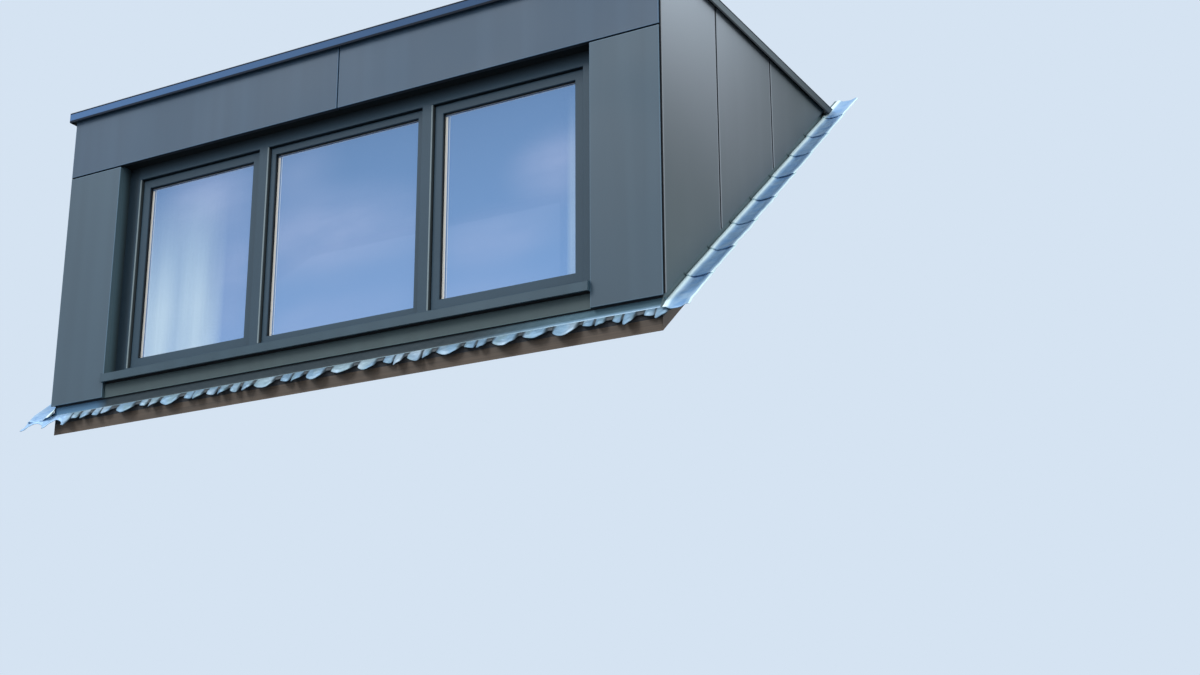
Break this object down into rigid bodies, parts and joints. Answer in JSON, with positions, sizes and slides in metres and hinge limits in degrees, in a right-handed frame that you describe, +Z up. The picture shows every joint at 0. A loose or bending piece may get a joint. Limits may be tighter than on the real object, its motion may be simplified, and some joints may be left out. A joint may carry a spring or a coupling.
{
  "type": "box dormer window",
  "caption": "Flat-roofed box dormer window with dark folded metal cladding, glazed casements, sloping cheeks and pale flashings, on a timber sole frame cut to the roof's pitch.",
  "frame": {"origin": "middle of the front sole plate's sloping underside, on the plane of the rafters", "axes": "+X along the front, to the right as seen from outside; +Y into the roof; +Z up"},
  "size_m": [3.88, 2.3351, 1.9486],
  "materials": {
    "timber": "planed softwood",
    "membraned_board": "insulated element under a dark breather membrane",
    "white_lining": "white painted board",
    "dark_cladding": "anthracite folded metal, satin",
    "roof_sheet": "matte roofing sheet",
    "edge_trim": "anthracite coated edge profile",
    "window_profile": "dark grey outside, white inside",
    "pane": "clear insulating glass",
    "bead": "white glazing bead",
    "flashing_sheet": "bright pale flashing",
    "rail": "white curtain rail",
    "net": "sheer white net"
  },
  "bodies": {
    "root": {"apron_flashing": "flashing_sheet", "ceiling_lining": "white_lining", "cheek_core_left": "membraned_board", "cheek_core_right": "membraned_board", "cheek_lining_left": "white_lining", "cheek_lining_right": "white_lining", "cheek_panels_left": "dark_cladding", "cheek_panels_right": "dark_cladding", "curtain_rail": "rail", "fascia_panel_left": "dark_cladding", "fascia_panel_right": "dark_cladding", "fixed_light_frame": "window_profile", "front_apron_core": "membraned_board", "front_lining": "white_lining", "glass_left": "pane", "glass_middle": "pane", "glass_right": "pane", "glazing_beads": "bead", "header_core": "membraned_board", "net_curtain_left": "net", "net_curtain_right": "net", "pier_core_left": "membraned_board", "pier_core_right": "membraned_board", "pier_panel_left": "dark_cladding", "pier_panel_right": "dark_cladding", "rear_sole_plate": "timber", "reveal_left": "dark_cladding", "reveal_right": "dark_cladding", "reveal_soffit": "dark_cladding", "roof_membrane": "roof_sheet", "roof_panel": "membraned_board", "roof_trim_front": "edge_trim", "roof_trim_left": "edge_trim", "roof_trim_right": "edge_trim", "sash_left": "window_profile", "sash_right": "window_profile", "side_flashing_left": "flashing_sheet", "side_flashing_right": "flashing_sheet", "sill_apron_panel": "dark_cladding", "sole_plate_front": "timber", "sole_plate_left": "timber", "sole_plate_right": "timber", "upturn_board": "timber", "window_board": "white_lining", "window_frame": "window_profile", "window_sill": "window_profile"}
  },
  "joints": []
}
